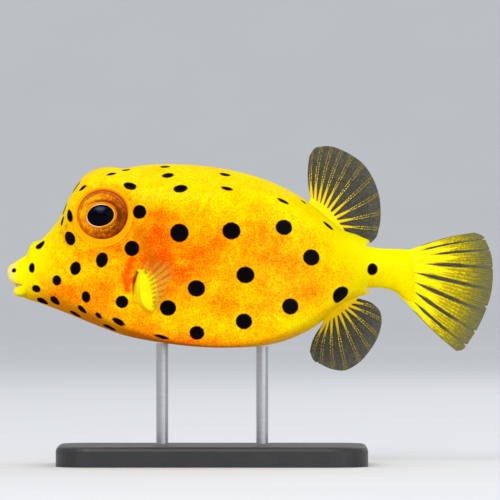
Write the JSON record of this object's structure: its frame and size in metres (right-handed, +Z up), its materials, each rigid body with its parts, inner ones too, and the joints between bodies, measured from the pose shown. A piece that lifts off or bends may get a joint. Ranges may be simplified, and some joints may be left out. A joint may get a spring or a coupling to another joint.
{
  "type": "yellow boxfish",
  "caption": "Still, life-size boxfish with a boxy spotted case, small lips, round eyes and fanned fins, held over a flat base by short rods.",
  "frame": {"origin": "bottom centre of the whole model's box, on the underside of the stand's base plane", "axes": "-X towards the fish's snout, -Y towards its left side, +Z up"},
  "size_m": [0.0971, 0.0542, 0.0638],
  "materials": {
    "skin": "moist yellow skin with black spots",
    "eye": "glossy amber iris with a black pupil",
    "fin": "smoky translucent membrane with yellow rays",
    "stand_plate": "satin dark plastic",
    "stand_metal": "satin steel rod"
  },
  "bodies": {
    "root": {"head": "skin", "torso": "skin", "tail_stem": "skin", "lip_upper": "skin", "lip_lower": "skin", "eye_left": "eye", "eye_right": "eye", "dorsal_fin": "fin", "anal_fin": "fin", "tail_fin": "fin", "pectoral_fin_left": "fin", "pectoral_fin_right": "fin", "stand_base": "stand_plate", "stand_rod_front": "stand_metal", "stand_rod_rear": "stand_metal"}
  },
  "joints": []
}
